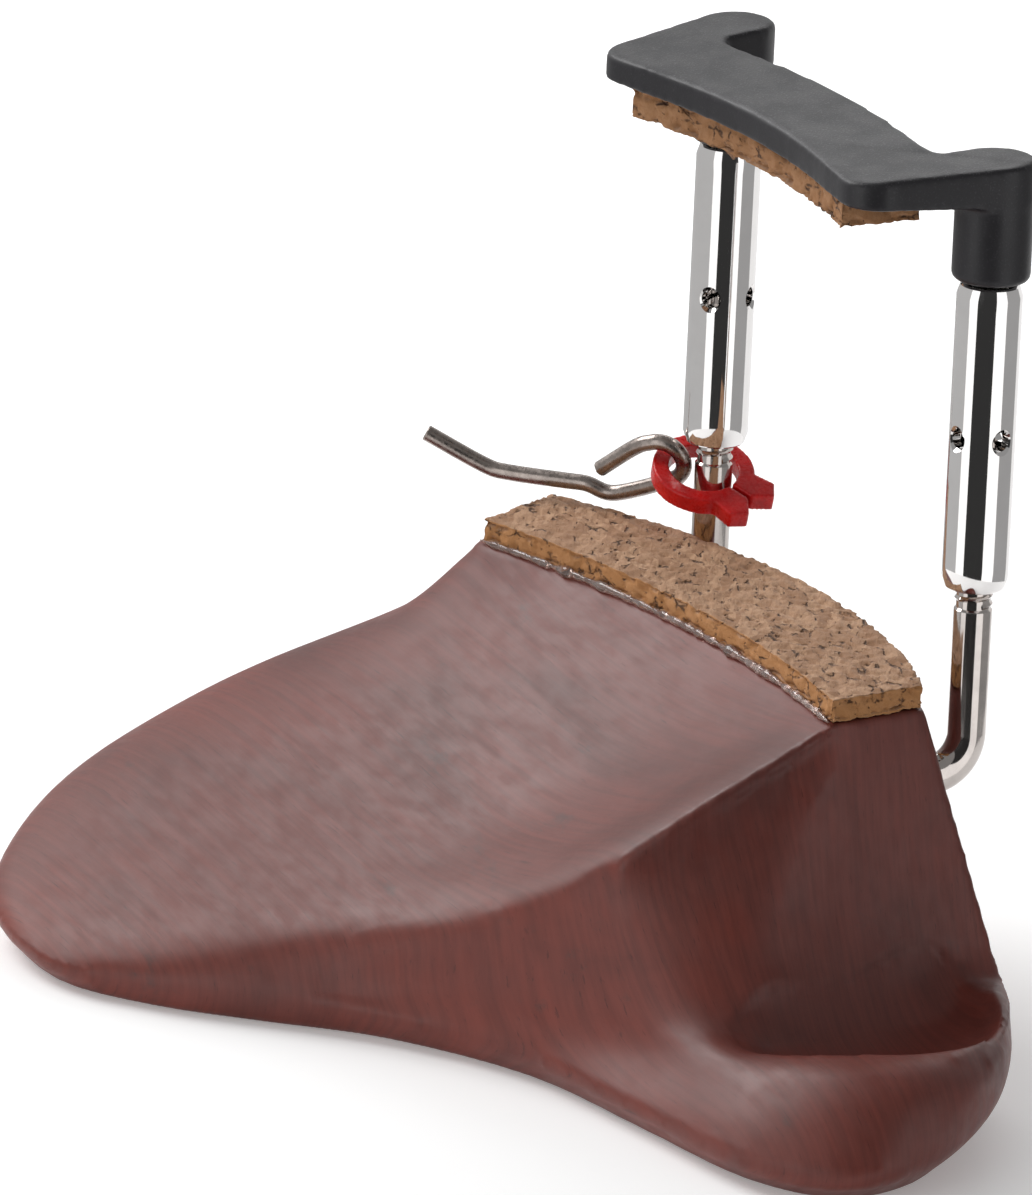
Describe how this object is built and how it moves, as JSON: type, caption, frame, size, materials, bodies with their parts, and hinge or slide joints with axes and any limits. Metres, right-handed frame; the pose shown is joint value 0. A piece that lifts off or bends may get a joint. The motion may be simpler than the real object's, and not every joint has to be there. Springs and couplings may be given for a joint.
{
  "type": "violin chin rest",
  "caption": "Side-mounted violin chin rest: a stained wood chin plate on a cork-faced foot, with a hook-rod clamp, turnbuckle barrels, a corked bracket and a clipped-on key.",
  "frame": {"origin": "on the foot cork's face, midway between the two post axes in X and 6.3 mm inside the posts in Y", "axes": "+Z along the posts from the foot towards the clamp bracket, +X along the posts from left to right, +Y outwards, away from the instrument's middle; the chin side faces -Z"},
  "size_m": [0.1014, 0.0635, 0.0725],
  "materials": {
    "stained_wood": "satin red-brown stain",
    "cork": "matt agglomerate cork",
    "black_plastic": "fine-grained moulding",
    "chrome": "polished",
    "chromed_rod": "polished, threaded at the end",
    "steel": "threaded",
    "key_steel": "satin wire",
    "red_plastic": "slightly translucent moulding"
  },
  "bodies": {
    "rest": {"wood_body": "stained_wood", "foot_cork": "cork", "hook_rod_left": "chromed_rod", "hook_rod_right": "chromed_rod"},
    "clamp": {"clamp_bracket": "black_plastic", "bracket_cork": "cork", "bracket_stud_left": "steel", "bracket_stud_right": "steel"},
    "left_barrel": {"barrel_left": "chrome"},
    "right_barrel": {"barrel_right": "chrome"},
    "clip": {"key_clip": "red_plastic"},
    "key": {"tightening_key": "key_steel"}
  },
  "joints": [
    {"name": "clamp_slide", "type": "slide", "parent": "rest", "child": "clamp", "axis": [0, 0, 1], "range_m": [0, 0.006]},
    {"name": "left_barrel_turn", "type": "hinge", "parent": "clamp", "child": "left_barrel", "pos_m": [-0.0208, 0.0063, 0.019], "axis": [0, 0, 1], "range_deg": [0, 2160]},
    {"name": "right_barrel_turn", "type": "hinge", "parent": "clamp", "child": "right_barrel", "pos_m": [0.0208, 0.0063, 0.019], "axis": [0, 0, 1], "range_deg": [0, 2160]},
    {"name": "clip_turn", "type": "hinge", "parent": "rest", "child": "clip", "pos_m": [-0.0208, 0.0063, 0.004], "axis": [0, 0, 1], "continuous": true},
    {"name": "key_swing", "type": "hinge", "parent": "clip", "child": "key", "pos_m": [-0.02377, 0.00327, 0.00472], "axis": [-0.6269, 0.6962, 0.3498], "range_deg": [0, 25]}
  ],
  "couplings": [
    {"joint": "left_barrel_turn", "follows": "clamp_slide", "rad_per_m": 6283},
    {"joint": "right_barrel_turn", "follows": "clamp_slide", "rad_per_m": 6283}
  ]
}
